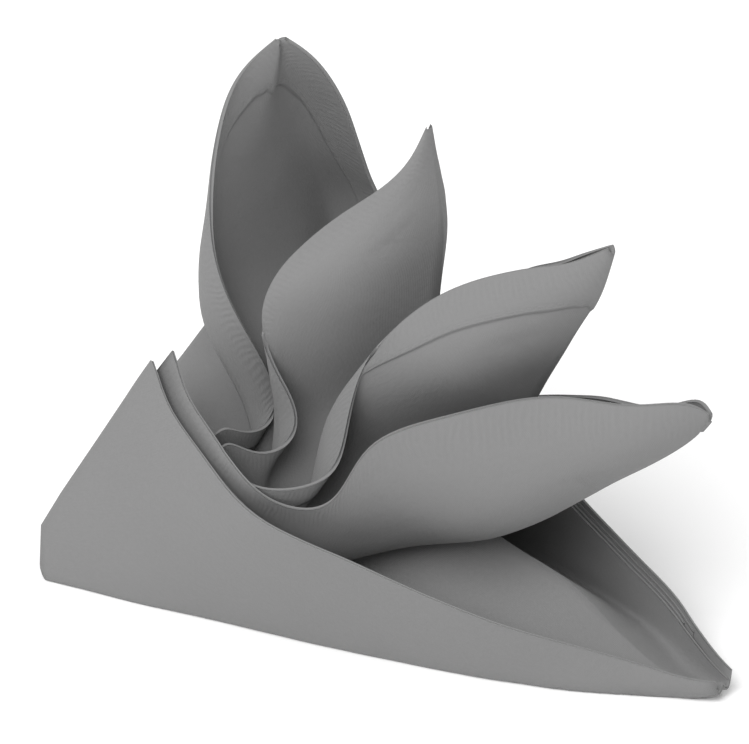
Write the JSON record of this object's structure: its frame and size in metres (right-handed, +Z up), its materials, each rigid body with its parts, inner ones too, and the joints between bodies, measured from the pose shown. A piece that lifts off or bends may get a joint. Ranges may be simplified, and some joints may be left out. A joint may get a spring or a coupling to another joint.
{
  "type": "folded cloth napkin",
  "caption": "Hemmed square cloth napkin in a bird-of-paradise fold: a pointed boat standing on its bottom folds, with the loose corners drawn up along its ridge as petals.",
  "frame": {"origin": "centre of the footprint, on the surface the napkin stands on", "axes": "+X from the heel to the pointed bow, +Z up, -Y towards the near flap"},
  "size_m": [0.1932, 0.1104, 0.1561],
  "materials": {
    "cloth": "matte"
  },
  "bodies": {
    "root": {"napkin": "cloth"}
  },
  "joints": []
}
